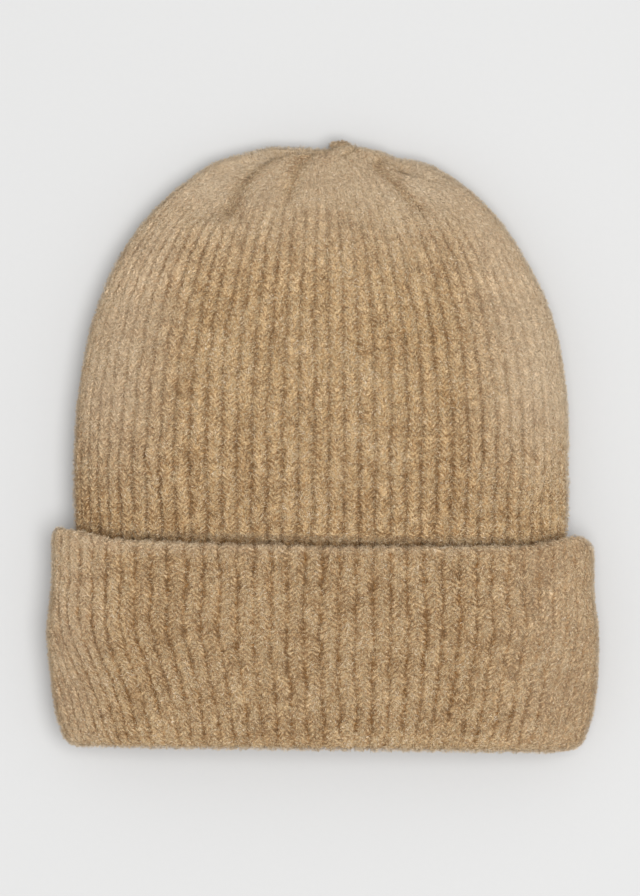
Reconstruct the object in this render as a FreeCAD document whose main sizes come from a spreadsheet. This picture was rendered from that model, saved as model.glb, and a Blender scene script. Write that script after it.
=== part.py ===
import FreeCAD, Part
import os

import Sketcher

# A ribbed-knit beanie with a turned-up cuff, lying on its back on a table.
# +Z is up, through its thickness; +Y points to the crown and the head opening faces -Y.
# The origin is on the table, under the middle of the hat's outline.

SIZES = {
    "fabric": 4.5,  # one knitted layer
    "air": 0.5,  # between the cuff and the body inside it
    # the turned-up cuff
    "cuff_width": 226,
    "cuff_thick": 34,
    "cuff_round": 15,
    "cuff_height": 87,
    "fold_line": -125.5,
    "fold_deep": 5.5,
    "fold_round": 4,
    "mouth_round": 7,
    "edge_deep": 4,
    "edge_round": 1.8,
    # the body, a flattened tube
    "hem_width": 212,
    "body_width": 203,
    "body_rise": 21,
    "lift": 15,
    "sag_start": -34,
    "sag_end": -9,
    # the crown, which closes from the belly line to the tip
    "belly_line": -5,
    "tip_line": 123.8,
    "crown_line": 70,
    "fullness": 2.4,
    "droop": 5,
    "tip_mid": 10,
    "dart_angle": 40.6,
    # seams, threads and the label
    "seam_wide": 4,
    "seam_tall": 2.2,
    "seam_end": 98,
    "dart_start": 11,
    "dart_long": 62,
    "nub_offset": 7.8,
    "nub_wide": 4.2,
    "nub_tall": 3.2,
    "thread": 0.5,
    "gather": 2.1,
    "label_long": 36,
    "label_wide": 28,
    "label_thick": 0.9,
    "label_near": 2,
    "label_gap": 0.35,
    "stitch_long": 2.6,
    "stitch_step": 4.6,
    # helper forms that only cut reach past the hat by this much
    "reach": 150,
}
STITCHES = 6
# how far along the crown each of its sections stands, from the belly line (0) to the tip (1)
CROWN_STATIONS = (0, 0.3, 0.5, 0.65, 0.77, 0.86, 0.93, 0.97, 0.994)

BODY_END = "Sizes.fold_line + Sizes.fold_deep + Sizes.air"
CUFF_EDGE = "(Sizes.fold_line + Sizes.cuff_height)"
BODY_LOW = "(Sizes.fabric + Sizes.air)"
HEM_RISE = "(Sizes.cuff_thick - Sizes.fabric - Sizes.air - Sizes.lift)"

doc = FreeCAD.newDocument("Beanie")
sheet = doc.addObject("Spreadsheet::Sheet", "Sizes")
for row, (word, value) in enumerate(SIZES.items(), start=1):
    sheet.set(f"A{row}", word)
    sheet.set(f"B{row}", str(value))
    sheet.setAlias(f"B{row}", word)
doc.recompute()

made = []


def bind(item, **sizes):
    """Ties properties to expressions; a double underscore stands for a dot."""
    for name, expression in sizes.items():
        item.setExpression(name.replace("__", "."), expression)
    return item


def place(item, x="0", y="0", z="0"):
    return bind(item, Placement__Base__x=x, Placement__Base__y=y, Placement__Base__z=z)


def node(item, name):
    """Marks a finished sub-part, which is written to a file of its own."""
    item.Label = name
    made.append(item)
    return item


def box(name, x, y, z, length, width, height):
    item = bind(doc.addObject("Part::Box", name), Length=length, Width=width, Height=height)
    return place(item, x, y, z)


def boolean(kind, name, base, tool):
    """Faces that lie in one surface stay apart: merging them breaks the ruled crown."""
    item = doc.addObject(kind, name)
    item.Base = base
    item.Tool = tool
    item.Refine = False
    return item


def cut(name, base, tool):
    return boolean("Part::Cut", name, base, tool)


def common(name, base, tool):
    return boolean("Part::Common", name, base, tool)


def fuse(name, items):
    item = doc.addObject("Part::MultiFuse", name)
    item.Shapes = items
    return item


def sketch_on(body, name, role):
    sketch = body.newObject("Sketcher::SketchObject", name)
    plane = next(item for item in body.Origin.OriginFeatures if item.Role == role)
    sketch.AttachmentSupport = [(plane, "")]
    sketch.MapMode = "FlatFace"
    return sketch


def closed_outline(sketch, corners):
    """Draws straight edges from corner to corner and joins their ends."""
    points = [FreeCAD.Vector(across, along, 0) for across, along in corners]
    for start, end in zip(points, points[1:] + points[:1]):
        sketch.addGeometry(Part.LineSegment(start, end), False)
    for edge in range(len(points)):
        following = (edge + 1) % len(points)
        sketch.addConstraint(Sketcher.Constraint("Coincident", edge, 2, following, 1))


def measured(sketch, name, kind, *ends, size):
    """Adds a named distance and ties it to its expression."""
    index = sketch.addConstraint(Sketcher.Constraint(kind, *ends, 10.0))
    sketch.renameConstraint(index, name)
    sketch.setExpression(f"Constraints.{name}", size)


def bar_form(name, width, low, tall, far, length, radius):
    """A bar along Y with rounded long edges: width across X, standing on low."""
    body = doc.addObject("PartDesign::Body", name)
    sketch = sketch_on(body, f"{name}_section", "XZ_Plane")
    closed_outline(sketch, [(-20, 0), (20, 0), (20, 15), (-20, 15)])
    for edge, direction in ((1, "Vertical"), (2, "Horizontal"), (3, "Vertical")):
        sketch.addConstraint(Sketcher.Constraint(direction, edge))
    sketch.addConstraint(Sketcher.Constraint("Symmetric", 0, 1, 0, 2, -2))
    sketch.addConstraint(Sketcher.Constraint("PointOnObject", 0, 1, -1))
    measured(sketch, "across", "DistanceX", 0, 1, 0, 2, size=width)
    measured(sketch, "tall", "DistanceY", 1, 1, 1, 2, size=tall)
    bind(sketch, AttachmentOffset__Base__y=low, AttachmentOffset__Base__z=f"-({far})")
    pad = body.newObject("PartDesign::Pad", f"{name}_pad")
    pad.Profile = sketch
    bind(pad, Length=length)
    doc.recompute()
    long_edges = [
        f"Edge{number}"
        for number, edge in enumerate(pad.Shape.Edges, start=1)
        if abs(edge.tangentAt(edge.FirstParameter).y) > 0.99
    ]
    fillet = body.newObject("PartDesign::Fillet", f"{name}_rounds")
    fillet.Base = (pad, long_edges)
    bind(fillet, Radius=radius)
    return body


def round_end(body, at_y, radius):
    """Rounds the outline of the bar's end face that lies at at_y."""
    doc.recompute()
    last = body.Tip
    rim = [
        f"Edge{number}"
        for number, edge in enumerate(last.Shape.Edges, start=1)
        if abs(edge.BoundBox.YMin - at_y) < 0.01 and abs(edge.BoundBox.YMax - at_y) < 0.01
    ]
    fillet = body.newObject("PartDesign::Fillet", f"{body.Name}_end_round")
    fillet.Base = (last, rim)
    bind(fillet, Radius=radius)
    return body


def floor_form(name, raised):
    """All that lies under the back layer, which rests on the cuff and then sags to the table."""
    body = doc.addObject("PartDesign::Body", name)
    sketch = sketch_on(body, f"{name}_profile", "YZ_Plane")
    closed_outline(sketch, [(-130, -20), (130, -20), (130, 1), (-10, 1), (-35, 6), (-130, 6)])
    for edge in (0, 2, 4):
        sketch.addConstraint(Sketcher.Constraint("Horizontal", edge))
    for edge in (1, 5):
        sketch.addConstraint(Sketcher.Constraint("Vertical", edge))
    measured(sketch, "near", "DistanceX", 0, 1, -1, 1, size="Sizes.reach")
    measured(sketch, "under", "DistanceY", 0, 1, -1, 1, size="Sizes.reach / 5")
    measured(sketch, "far", "DistanceX", -1, 1, 1, 1, size="Sizes.reach")
    measured(sketch, "sag_end", "DistanceX", 2, 2, -1, 1, size="-Sizes.sag_end")
    measured(sketch, "sag_start", "DistanceX", 3, 2, -1, 1, size="-Sizes.sag_start")
    measured(sketch, "table", "DistanceY", 0, 2, 1, 2, size=f"Sizes.reach / 5 + {raised}")
    measured(sketch, "step", "DistanceY", 3, 1, 3, 2, size=BODY_LOW)
    pad = body.newObject("PartDesign::Pad", f"{name}_pad")
    pad.Profile = sketch
    pad.Midplane = True
    bind(pad, Length="2 * Sizes.reach")
    return body


def ring(name, along, half_width, half_height, middle):
    """One cross-section of the hat, an ellipse standing across Y."""
    item = doc.addObject("Part::Ellipse", name)
    item.Placement.Rotation = FreeCAD.Rotation(FreeCAD.Vector(1, 0, 0), 90)
    bind(item, MajorRadius=half_width, MinorRadius=half_height)
    return place(item, y=along, z=middle)


def hat_form(name, inset, past_fold):
    """The hat's filled outer form, shrunk by inset on every side, from past_fold below the fold."""
    hem = (f"Sizes.hem_width / 2 - {inset}", f"{HEM_RISE} - {inset}", "Sizes.lift")
    cuffed = (f"Sizes.body_width / 2 + 1 - {inset}", f"{HEM_RISE} - {inset}", "Sizes.lift")
    rings = [
        ring(f"{name}_ring_hem", f"Sizes.fold_line - {past_fold}", *hem),
        ring(f"{name}_ring_edge", CUFF_EDGE, *cuffed),
    ]
    for number, share in enumerate(CROWN_STATIONS):
        shrink = f"pow(1 - pow({share}; Sizes.fullness); 1 / Sizes.fullness)"
        along = f"Sizes.belly_line + {share} * (Sizes.tip_line - {inset} - Sizes.belly_line)"
        across = f"(Sizes.body_width / 2 - {inset}) * {shrink}"
        up = f"(Sizes.body_rise - {inset}) * {shrink}"
        middle = f"Sizes.lift - Sizes.droop * {share} ^ 2"
        rings.append(ring(f"{name}_ring_{number}", along, across, up, middle))
    loft = doc.addObject("Part::Loft", f"{name}_loft")
    loft.Sections = rings
    loft.Solid = True
    loft.Ruled = True
    return cut(name, loft, floor_form(f"{name}_floor", inset))


def inside_ridge(name, zone):
    """A seam allowance: what the zone holds just under the inside of the shell."""
    return cut(name, common(f"{name}_filled", hollow, zone), lining)


# The knitted shell: the outer form, less the head's space inside it.
outer = hat_form("hat_outer", "0", 5)
hollow = hat_form("hat_hollow", "Sizes.fabric", 10)
lining = hat_form("seam_depth", "(Sizes.fabric + Sizes.seam_tall)", 15)
shell = cut("hat_shell", outer, hollow)

body_long = f"Sizes.crown_line - ({BODY_END})"
tube_zone = box(
    "tube_zone", "-Sizes.reach", BODY_END, "-10", "2 * Sizes.reach", body_long, "100"
)
node(common("body_tube", shell, tube_zone), "body_tube")

# The crown's four gores, parted by two upright planes that meet at the tip.
crown_zone = box(
    "crown_zone", "-Sizes.reach", "Sizes.crown_line", "-10", "2 * Sizes.reach", "100", "100"
)
crown = common("crown_shell", shell, crown_zone)
side_zones = {}
for side, turn in (("left", "90 + Sizes.dart_angle"), ("right", "-Sizes.dart_angle")):
    zone = box(f"{side}_zone", "0", "Sizes.tip_line", "-20", "200", "200", "120")
    side_zones[side] = bind(zone, Placement__Rotation__Angle=turn)
    node(common(f"crown_gore_{side}", crown, side_zones[side]), f"crown_gore_{side}")
middle_gores = cut("middle_gores", crown, fuse("side_gores", list(side_zones.values())))
halves = {
    "front": box("front_half", "-200", "-200", "Sizes.tip_mid", "400", "400", "100"),
    "back": box("back_half", "-200", "-200", "Sizes.tip_mid - 100", "400", "400", "100"),
}
for half, zone in halves.items():
    node(common(f"crown_gore_{half}", middle_gores, zone), f"crown_gore_{half}")

# A dart seam runs down the inside of each line where two gores meet.
for side, turn in (("left", "180 + Sizes.dart_angle"), ("right", "-Sizes.dart_angle")):
    dart = box(
        f"dart_{side}", "Sizes.dart_start", "-Sizes.seam_wide / 2", "-20",
        "Sizes.dart_long", "Sizes.seam_wide", "120",
    )
    swung = doc.addObject("Part::Compound", f"dart_{side}_swung")
    swung.Links = [dart]
    place(bind(swung, Placement__Rotation__Angle=turn), y="Sizes.tip_line")
    for half, zone in halves.items():
        name = f"dart_seam_{half}_{side}"
        slice_zone = common(f"{name}_zone", swung, zone)
        node(inside_ridge(name, slice_zone), name)

# The back seam stands on the inside of the back layer, in the middle.
seam_zone = box(
    "seam_zone", "-Sizes.seam_wide / 2", BODY_END, "0",
    "Sizes.seam_wide", f"Sizes.seam_end - ({BODY_END})", "Sizes.lift",
)
node(inside_ridge("back_seam", seam_zone), "back_seam")

# The tip: a small knot of gathered stitches, and the thread that draws them up inside.
nub = doc.addObject("Part::Ellipsoid", "nub")
bind(nub, Radius2="Sizes.nub_wide", Radius3="Sizes.nub_wide", Radius1="Sizes.nub_tall")
place(nub, "Sizes.nub_offset", "-Sizes.fold_line - Sizes.nub_wide", "Sizes.tip_mid")
node(cut("crown_tip", nub, outer), "crown_tip")
gather = doc.addObject("Part::Torus", "gather_thread")
gather.Placement.Rotation = FreeCAD.Rotation(FreeCAD.Vector(1, 0, 0), 90)
bind(gather, Radius1="Sizes.gather", Radius2="Sizes.thread")
last = CROWN_STATIONS[-1]
inner_end = f"Sizes.belly_line + {last} * (Sizes.tip_line - Sizes.fabric - Sizes.belly_line)"
place(gather, y=f"{inner_end} - Sizes.thread", z="Sizes.tip_mid")
node(gather, "gather_thread")

# The cuff: a second layer round the body, with a rolled fold below and the cast-on rim above.
cuff_inside = ("Sizes.cuff_width - 2 * Sizes.fabric", "Sizes.fabric",
               "Sizes.cuff_thick - 2 * Sizes.fabric")
cuff_hollow = bar_form(
    "cuff_hollow", *cuff_inside, f"{CUFF_EDGE} + 5", "Sizes.cuff_height + 20",
    "Sizes.cuff_round - Sizes.fabric",
)
panel_far = f"{CUFF_EDGE} - Sizes.edge_deep"
panel_long = "Sizes.cuff_height - Sizes.edge_deep - Sizes.fold_deep"
cuff_outside = ("Sizes.cuff_width", "0", "Sizes.cuff_thick")
panel = cut(
    "cuff_ring",
    bar_form("cuff_bar", *cuff_outside, panel_far, panel_long, "Sizes.cuff_round"),
    cuff_hollow,
)
cuff_seam = box(
    "cuff_back_seam", "-Sizes.seam_wide / 2", f"{panel_far} - ({panel_long})",
    "Sizes.fabric - Sizes.seam_tall", "Sizes.seam_wide", panel_long, "Sizes.seam_tall",
)
node(cuff_seam, "cuff_back_seam")
node(cut("cuff_panel", panel, cuff_seam), "cuff_panel")

rim = bar_form("rim_bar", *cuff_outside, CUFF_EDGE, "Sizes.edge_deep", "Sizes.cuff_round")
round_end(rim, SIZES["fold_line"] + SIZES["cuff_height"], "Sizes.edge_round")
node(cut("cast_on_edge", rim, cuff_hollow), "cast_on_edge")

fold = bar_form(
    "fold_bar", *cuff_outside, "Sizes.fold_line + Sizes.fold_deep", "Sizes.fold_deep",
    "Sizes.cuff_round",
)
round_end(fold, SIZES["fold_line"], "Sizes.fold_round")
mouth = bar_form(
    "head_opening", "Sizes.hem_width - 2 * Sizes.fabric", f"Sizes.fabric + {BODY_LOW}",
    f"Sizes.cuff_thick - 2 * Sizes.fabric - 2 * {BODY_LOW}", f"{BODY_END} + 5", "20",
    "Sizes.mouth_round",
)
node(cut("cuff_fold", fold, mouth), "cuff_fold")

# The care label, a folded loop of tape that hinges where the back seam holds it.
label = box(
    "care_label", "Sizes.seam_wide / 2 + Sizes.label_gap", "Sizes.label_near",
    "Sizes.fabric + Sizes.label_gap", "Sizes.label_long", "Sizes.label_wide",
    "Sizes.label_thick",
)
node(label, "care_label")
stitches = []
for number in range(STITCHES):
    stitch = doc.addObject("Part::Cylinder", f"stitch_{number}")
    stitch.Placement.Rotation = FreeCAD.Rotation(FreeCAD.Vector(1, 0, 0), -90)
    bind(stitch, Radius="Sizes.thread", Height="Sizes.stitch_long")
    place(
        stitch, "0", f"Sizes.label_near + {number} * Sizes.stitch_step + 1",
        "Sizes.fabric + Sizes.seam_tall + Sizes.thread",
    )
    stitches.append(stitch)
tack = doc.addObject("Part::Compound", "label_stitches")
tack.Links = stitches
node(tack, "label_stitches")

doc.recompute()
for item in doc.Objects:
    trouble = [state for state in item.State if state in ("Invalid", "Error")]
    if trouble:
        raise RuntimeError(f"{item.Name} failed: {item.State}")
for item in made:
    if item.Shape.isNull() or not item.Shape.isValid():
        raise RuntimeError(f"{item.Label} has no valid shape")

os.makedirs("parts", exist_ok=True)
for item in made:
    item.Shape.exportStep(f"parts/{item.Label}.step")
    reach = item.Shape.BoundBox
    print(
        f"{item.Label}: {len(item.Shape.Solids)} solids, {item.Shape.Volume:.0f} mm3, "
        f"x {reach.XMin:.1f} to {reach.XMax:.1f}, y {reach.YMin:.1f} to {reach.YMax:.1f}, "
        f"z {reach.ZMin:.1f} to {reach.ZMax:.1f}"
    )
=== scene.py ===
import math

import bpy
import numpy as np
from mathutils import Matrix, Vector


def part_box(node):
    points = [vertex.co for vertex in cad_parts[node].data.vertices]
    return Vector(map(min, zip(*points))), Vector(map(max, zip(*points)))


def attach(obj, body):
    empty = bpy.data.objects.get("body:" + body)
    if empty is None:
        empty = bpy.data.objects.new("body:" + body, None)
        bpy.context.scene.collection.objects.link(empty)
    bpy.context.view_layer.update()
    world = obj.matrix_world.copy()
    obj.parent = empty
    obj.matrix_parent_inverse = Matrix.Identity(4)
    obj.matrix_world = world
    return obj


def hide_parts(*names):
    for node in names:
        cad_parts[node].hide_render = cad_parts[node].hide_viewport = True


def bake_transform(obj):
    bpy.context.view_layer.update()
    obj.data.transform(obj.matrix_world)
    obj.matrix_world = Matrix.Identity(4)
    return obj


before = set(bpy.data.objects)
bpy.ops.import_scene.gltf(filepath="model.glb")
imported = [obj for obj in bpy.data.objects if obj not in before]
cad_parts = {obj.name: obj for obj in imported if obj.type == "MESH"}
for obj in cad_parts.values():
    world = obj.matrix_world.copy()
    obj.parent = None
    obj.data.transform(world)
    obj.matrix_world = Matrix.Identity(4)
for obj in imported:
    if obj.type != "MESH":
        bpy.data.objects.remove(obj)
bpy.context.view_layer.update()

# ---------------------------------------------------------------- sizes, in metres
MM = 0.001
fold_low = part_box("cuff_fold")[0]
rim_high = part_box("cast_on_edge")[1]
tube_low, tube_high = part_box("body_tube")
gore_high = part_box("crown_gore_left")[1]
nub_low, nub_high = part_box("crown_tip")
seam_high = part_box("back_seam")[1]
label_low, label_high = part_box("care_label")

FABRIC = 4.5 * MM  # one knitted layer
AIR = 0.5 * MM  # between the cuff and the body inside it
CUFF_HALF = rim_high.x - 0.8 * MM  # the loose fibres fill the rest
CUFF_TOP = rim_high.z
FOLD_LINE = fold_low.y + 2.2 * MM
RIM_LINE = rim_high.y
BODY_HALF = 101.0 * MM
HEM_HALF = 101.7 * MM
BODY_TOP = tube_high.z
TUBE_TOP = CUFF_TOP - FABRIC - AIR
TUBE_BOTTOM = FABRIC + AIR
BODY_MIDDLE = 15 * MM  # how high the body's outline lies above the table
HEM_LINE = tube_low.y
BELLY_LINE = -5 * MM  # the crown's curve starts here
CROWN_LINE = tube_high.y
TIP_LINE = gore_high.y + 0.8 * MM
FULLNESS = 2.3  # of the crown's outline: 2 would be an ellipse
TIP_SHIFT = 7.8 * MM  # the gathered tip lies this far to the right
SAG_START, SAG_END = -34 * MM, -6 * MM  # the back layer comes down to the table here
FOLD_REACH = 5.0 * MM  # from the end of the flat cloth to the outside of the fold
RIM_REACH = 2.2 * MM

RIBS = 76
COLUMNS_PER_RIB = 12
ROWS_PER_COURSE = 5
COURSE = 2.12 * MM
COLUMNS = RIBS * COLUMNS_PER_RIB
INNER_STEP = 2  # the inside of the cloth is made this much coarser
FRONT_RIB = RIBS // 2  # ribs are counted from the back seam, by the right side, to the front
CREST = 1.9  # from the bottom of a furrow to the top of a stitch, in millimetres
QUARTERS = ("back_right", "front_right", "front_left", "back_left")
LATTICE = 256  # the noise repeats after this many units


# ---------------------------------------------------------------- small mathematics
def smooth(low, high, value):
    """0 below low, 1 above high, and a soft step between."""
    t = np.clip((value - low) / (high - low), 0, 1)
    return t * t * (3 - 2 * t)


def hump(value, centre, width):
    return np.exp(-(((value - centre) / width) ** 2))


def noise(across, along, seed):
    """Soft noise from -1 to 1 that changes over about one unit, wherever it is read."""
    lattice = np.random.default_rng(seed).uniform(-1, 1, (LATTICE, LATTICE))
    left, low = np.floor(across).astype(int), np.floor(along).astype(int)
    u, v = across - left, along - low
    u, v = u * u * (3 - 2 * u), v * v * (3 - 2 * v)
    a = lattice[left % LATTICE, low % LATTICE]
    b = lattice[(left + 1) % LATTICE, low % LATTICE]
    c = lattice[left % LATTICE, (low + 1) % LATTICE]
    d = lattice[(left + 1) % LATTICE, (low + 1) % LATTICE]
    return (a * (1 - u) + b * u) * (1 - v) + (c * (1 - u) + d * u) * v


def unit(vectors):
    return vectors / np.maximum(np.linalg.norm(vectors, axis=-1, keepdims=True), 1e-12)


def running_total(steps):
    """How far along a path each of its points is, from the steps between them."""
    return np.concatenate([[0], np.cumsum(steps)])


def grid_normals(points):
    """Outward normals of a grid whose rows run up the hat and whose columns run round it."""
    up = np.gradient(points, axis=0)
    joined = np.concatenate([points[:, -2:-1], points, points[:, 1:2]], axis=1)
    round_it = np.gradient(joined, axis=1)[:, 1:-1]
    return unit(np.cross(up, round_it))


# ---------------------------------------------------------------- the hat's cross-sections
def crown_share(along):
    return np.clip((along - BELLY_LINE) / (TIP_LINE - BELLY_LINE), 0, 1)


def closing(along):
    """How much of its full width the crown still has: 1 at the belly line, 0 at the tip."""
    return (1 - crown_share(along) ** FULLNESS) ** (1 / FULLNESS)


def body_sections(along):
    """Half width, top, middle and bottom of the body at each place along Y."""
    flare = 1 - smooth(HEM_LINE, RIM_LINE, along)
    half = (BODY_HALF + (HEM_HALF - BODY_HALF) * flare) * closing(along)
    middle = BODY_MIDDLE - 5 * MM * crown_share(along) ** 2
    narrowing = closing(along) ** 0.8
    top = middle + (TUBE_TOP - BODY_MIDDLE) * narrowing
    under = TUBE_BOTTOM * (1 - smooth(SAG_START, SAG_END, along))
    depth = np.minimum(middle - under, 21 * MM * narrowing)
    return half, top, middle, middle - depth


def cuff_sections(along, inset):
    """The same for the cuff, shrunk by inset on every side."""
    share = (along - FOLD_LINE) / (RIM_LINE - FOLD_LINE)
    half = CUFF_HALF * (1 - 0.15 * np.minimum(share - 0.55, 0) ** 2)
    half = half - 1.6 * MM * smooth(0.14, 0.0, share) - 2.0 * MM * smooth(0.54, 0.80, share)
    top = CUFF_TOP - 0.4 * MM + 0.9 * MM * np.sin(np.pi * np.clip(share, 0, 1))
    middle = np.full_like(along, 0.5 * CUFF_TOP)
    return half - inset, top - inset, middle, np.full_like(along, inset)


BODY_POWER, CUFF_POWER, FOLD_POWER = 2.5, 3.1, 2.6  # 2 would make the cross-section an ellipse
GATHERED = 0.19  # how much closer together the front's ribs lie at the fold
SQUEEZE = 0.45  # how much closer together the ribs lie at the two sides than in the middle
ANGLES = np.linspace(-0.5 * np.pi, 1.5 * np.pi, 1441)


def column_shares(gathered):
    """How far round a cross-section each column lies, from 0 to 1, closer together at the sides.
    Where the knit is gathered, ribs also come round from the back to the front, most at the left."""
    around = 2 * np.pi * (np.arange(COLUMNS) + 0.5) / COLUMNS
    at_sides = np.sin(around) ** 2
    towards_front = -np.cos(around) * (1 - 0.6 * np.cos(around) ** 2) * (1 - 0.5 * np.sin(around))
    apart = 1 - SQUEEZE * at_sides ** 4 - gathered * towards_front
    return running_total(apart) / apart.sum()


def rings(along, sections, power, gathered=None):
    """Points round each cross-section, from the middle of the back to itself."""
    half, top, middle, bottom = sections
    powers = np.broadcast_to(power, along.shape)
    gathered = np.zeros_like(along) if gathered is None else gathered
    points = np.empty((len(along), COLUMNS + 1, 3))
    for row in range(len(along)):
        across = np.sign(np.cos(ANGLES)) * np.abs(np.cos(ANGLES)) ** (2 / powers[row])
        above = np.sign(np.sin(ANGLES)) * np.abs(np.sin(ANGLES)) ** (2 / powers[row])
        x = half[row] * across
        lift = np.where(above > 0, top[row] - middle[row], middle[row] - bottom[row])
        z = middle[row] + lift * above
        travelled = running_total(np.hypot(np.diff(x), np.diff(z)))
        places = column_shares(gathered[row]) * travelled[-1]
        points[row, :, 0] = np.interp(places, travelled, x)
        points[row, :, 1] = along[row]
        points[row, :, 2] = np.interp(places, travelled, z)
    return points


# ---------------------------------------------------------------- the knitted relief
def knit_relief(rib, course, strength, seed):
    """Height of the rib knit above its furrows, and how deep in a furrow each point is, which the materials
    turn into painted shade.
    """
    ragged = 0.12 * noise(rib * 2.1, course * 0.9, seed)
    rib = rib + 0.11 * noise(rib / 3, course / 9, seed + 1) + ragged
    course = course + 0.25 * noise(rib * 0.7, course / 5, seed + 2) + 0.12 * noise(rib * 2, course, seed + 4)
    phase = rib - np.floor(rib)
    off_centre = np.abs(2 * phase - 1)  # 0 on a rib's crest, 1 in the furrow
    crest = 1 - off_centre ** 2.8
    legs = np.abs(np.sin(2 * np.pi * phase)) ** 0.7
    vary = 1 + 0.5 * noise(np.floor(rib) * 3.7, course * 0.8, seed + 3)
    chevron = 0.5 + 0.5 * np.cos(2 * np.pi * (course - 1.5 * off_centre))
    purl = (0.5 + 0.5 * np.cos(2 * np.pi * course)) * off_centre ** 3
    filled = 0.5 + 0.5 * noise(rib * 0.9, course / 2.5, seed + 5)  # fibres partly fill some furrows
    clumps = 0.35 * noise(rib * 3.1, course * 0.45, seed + 6)
    clumps = clumps + 0.45 * noise(rib * 5.7, course * 1.5, seed + 7)
    height = 1.20 * crest + 0.75 * vary * chevron * (0.30 + 0.70 * legs) * (0.3 + 0.7 * crest)
    height = height + 0.45 * purl * vary + 0.40 * filled * off_centre ** 2 + 0.45 * clumps
    # furrow: how much painted shade each point gets, most deep in a furrow, between the stitches' legs and
    # between the clumps
    furrow = 1.08 * off_centre ** 5 * (1 - 0.40 * purl - 0.50 * filled)
    furrow = furrow + 0.40 * (1 - chevron) - 0.50 * clumps
    furrow = np.clip(furrow * strength, -0.5, 1.2)
    return height * strength * MM, furrow


def felt_relief(points, seed):
    """Small lumps of the brushed wool."""
    x, y, z = (points[..., axis] / MM for axis in range(3))
    lumps = 0.09 * noise(x / 1.6 + z / 1.7, y / 1.7 - z / 2.3, seed)
    lumps += 0.19 * noise(x / 0.9 + z / 1.0, y / 0.9 + z / 1.1, seed + 1)
    return lumps * MM


def soft_swells(points, seed):
    """The slow rise and fall of cloth that lies loosely."""
    x, y, z = (points[..., axis] / MM for axis in range(3))
    return MM * (0.8 * noise(x / 46 + z / 30, y / 52, seed) + 0.4 * noise(x / 17, y / 24 + z / 20, seed + 1))


# The furrows of the gathered crown, in millimetres: their path as X at several Y, how deep and wide
# they are, and how far the cloth on the outer side lies below the inner side.
FURROWS = (
    dict(y=(92, 98, 111, 115, 122), x=(-38, -37, -30.5, -26.8, -16.5), deep=2.4, wide=4.4, drop=4.6),
    dict(y=(100, 103, 109, 115, 120), x=(-13, -12.8, -11.5, -9.9, -7), deep=2.7, wide=3.6, drop=0.8),
    dict(y=(95, 99, 106, 112, 117), x=(40, 38.7, 32.1, 27.6, 23.1), deep=2.4, wide=3.4, drop=1.4),
    dict(y=(108, 111, 114, 117), x=(47, 43.7, 36.3, 32.1), deep=2.4, wide=3.0, drop=3.6),
    dict(y=(116, 118, 121, 123), x=(13, 11.6, 8.2, 6.5), deep=1.8, wide=1.5, drop=0.0),
)


def crown_furrows(points, rib):
    """How far the gathered crown sinks along its furrows, in metres; not at all at its two sides.
    Also how deep inside a furrow each point is, where less of the brushed wool stands up and painted shade
    darkens it."""
    from_front = np.abs(rib - FRONT_RIB) / (RIBS / 4)
    front = 1 - smooth(0.80, 0.97, from_front)
    back = smooth(1.03, 1.20, from_front)
    x, y = points[..., 0] / MM, points[..., 1] / MM
    sink, hollow = np.zeros(points.shape[:2]), np.zeros(points.shape[:2])
    for furrow in FURROWS:
        start = furrow["y"][0]
        outward = math.copysign(1, furrow["x"][0])
        path = np.interp(y, furrow["y"], furrow["x"])
        window = smooth(start - 3, start + 7, y)
        apart = (x - path) * outward
        sink += window * furrow["deep"] * hump(apart, 0, furrow["wide"])
        hollow += window * hump(apart, 0.3 * furrow["wide"], 1.1 * furrow["wide"])
        sink += window * furrow["drop"] * smooth(-2.5, 5.0, apart) * (1 - smooth(10, 26, apart))
    dart = 0.5 * BODY_HALF / MM * closing(points[..., 1])
    mirrored = 1.3 * smooth(85, 110, y) * (hump(x, dart, 3) + hump(x, -dart, 3))
    return (front * sink + back * mirrored) * MM, front * np.clip(hollow, 0, 1)


def crown_outline(points):
    """How far the crown's top edge rises or dips, in metres."""
    x = points[..., 0] / MM
    edge = 1.7 * hump(x, -46, 12) + 1.2 * hump(x, -21, 6.5) - 1.4 * hump(x, 0, 6) - 1.7 * smooth(12, 20, x)
    edge = edge + 2.2 * smooth(28, 44, x) - 1.3 * smooth(54, 66, x)
    return edge * smooth(0.86, 0.97, crown_share(points[..., 1])) * MM


# ---------------------------------------------------------------- the skins
def knit_skin(points, rib, course, strength, seed, thickness, swell, pale_fuzz_and_sheen, sink=0.0):
    """Gives a smooth grid its relief outside and inside. The inside's ribs lie in the outside's furrows."""
    normal = grid_normals(points)
    height, furrow = knit_relief(rib, course, strength, seed)
    raised = height - CREST * MM * strength + felt_relief(points, 21) + swell - sink
    outer = points + normal * raised[..., None]
    back_height, _ = knit_relief(rib + 0.5, course, strength, seed + 40)
    lowered = thickness + back_height - CREST * MM * strength + felt_relief(points, 41)
    inner = points - normal * lowered[..., None]
    inner += normal * (swell - sink)[..., None]
    for surface in (outer, inner):
        surface[:, -1] = surface[:, 0]
        surface[..., 2] = np.maximum(surface[..., 2], 0.1 * MM)
    return {
        "smooth": points,
        "outer": outer,
        "inner": inner,
        "normal": grid_normals(outer),
        "furrow": furrow,
        "pale_fuzz_and_sheen": np.broadcast_to(pale_fuzz_and_sheen, points.shape[:2]),
    }


def body_rows():
    """Places along Y for the body's rows, about one fifth of a course apart along the cloth."""
    turn = np.linspace(0, 0.5 * np.pi, 6000)
    fine = np.concatenate([
        np.linspace(HEM_LINE, BELLY_LINE, 2000)[:-1],
        BELLY_LINE + (TIP_LINE - BELLY_LINE) * np.sin(turn) ** (2 / FULLNESS),
    ])
    fine = fine[closing(fine) > 0.03]
    steps = np.hypot(np.diff(fine), 0.55 * BODY_HALF * np.diff(closing(fine)))
    travelled = running_total(steps)
    count = int(travelled[-1] / COURSE * ROWS_PER_COURSE / INNER_STEP) * INNER_STEP
    return np.interp(np.linspace(0, travelled[-1], count + 1), travelled, fine)


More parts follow.
